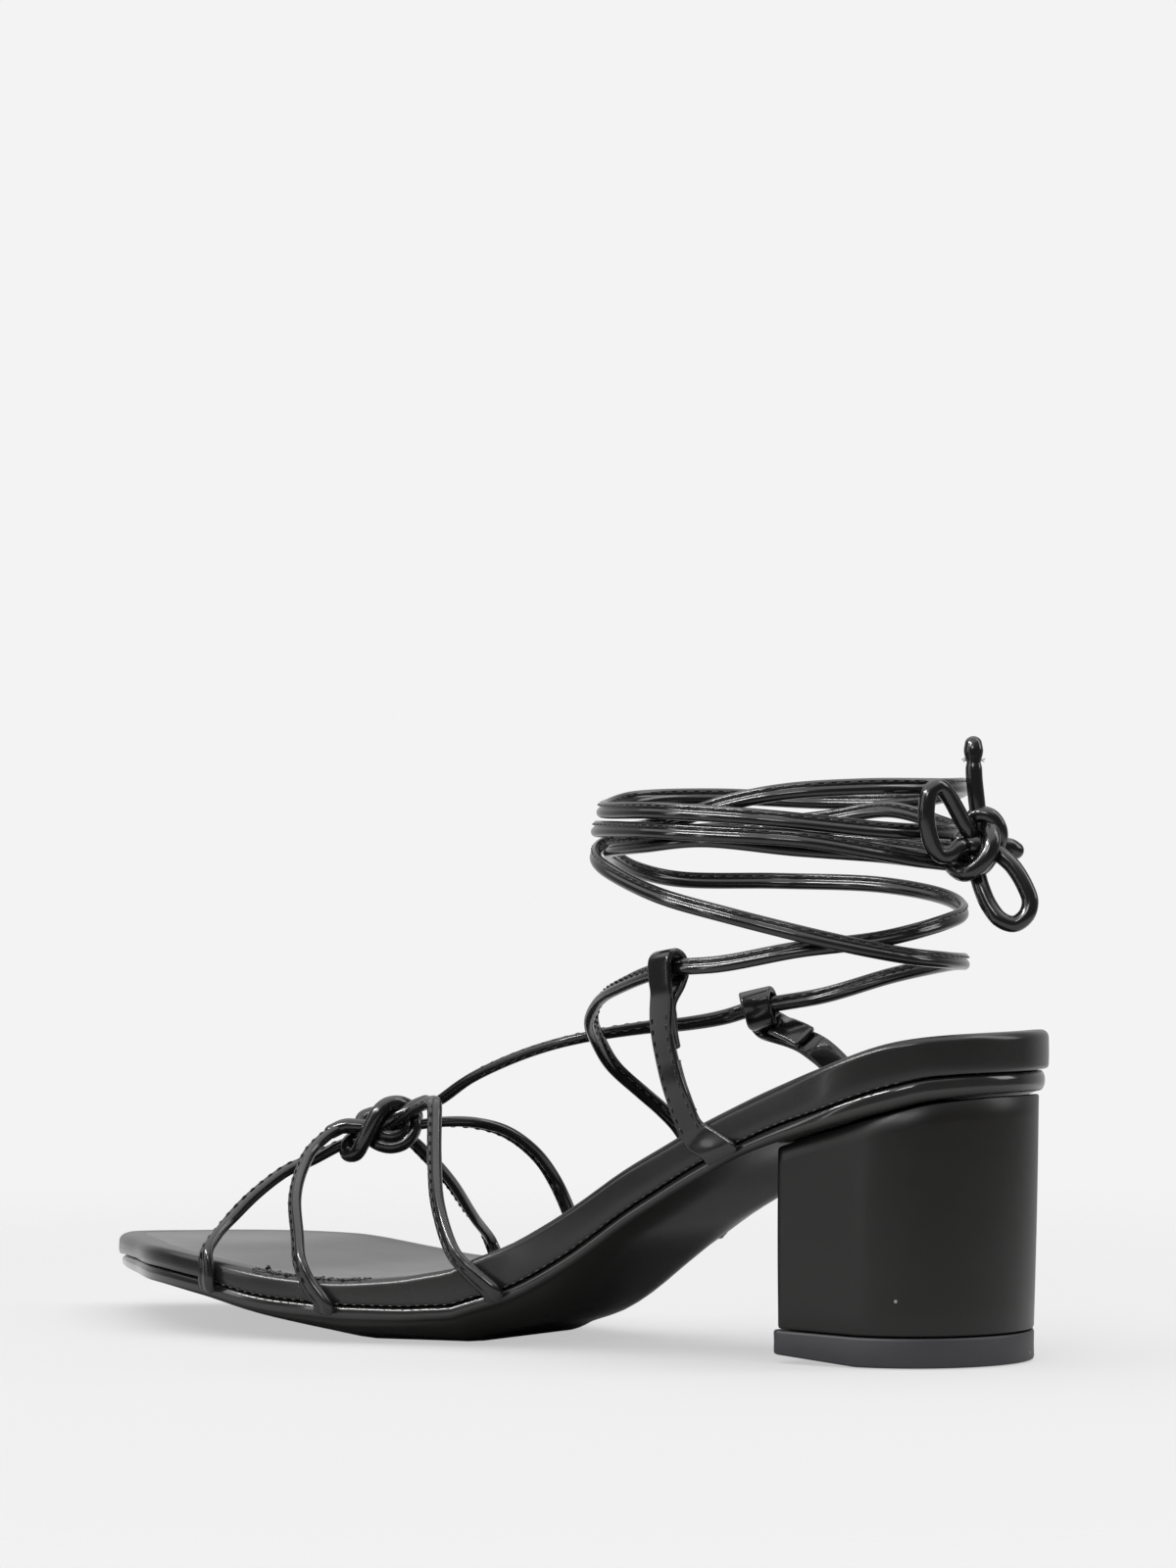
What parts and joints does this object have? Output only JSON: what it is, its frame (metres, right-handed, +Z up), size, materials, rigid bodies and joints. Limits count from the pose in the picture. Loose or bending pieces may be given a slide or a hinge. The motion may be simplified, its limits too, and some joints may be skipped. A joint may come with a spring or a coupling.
{
  "type": "strappy sandal",
  "caption": "Left lace-up sandal with tubular vamp straps joined in a knot, wrapped ankle ties, looped stays and a covered block heel.",
  "frame": {"origin": "on the floor under the middle of the bounding box, without the bow", "axes": "+X towards the toe, +Y towards the wearer's left, +Z up"},
  "size_m": [0.2267, 0.078, 0.1173],
  "materials": {
    "outsole": "smooth satin black with a glossier rim",
    "footbed": "smooth satin black",
    "heel_cover": "smooth satin black",
    "top_piece": "matte charcoal",
    "straps": "semi-gloss black with fine stitching"
  },
  "bodies": {
    "root": {"outsole": "outsole", "footbed": "footbed", "heel_block": "heel_cover", "top_piece": "top_piece", "vamp_straps": "straps", "ankle_ties": "straps", "stay_left": "straps", "stay_right": "straps", "bow_knot": "straps", "bow_loop_upper": "straps", "bow_loop_lower": "straps", "tie_end_upper": "straps", "tie_end_lower": "straps"}
  },
  "joints": []
}
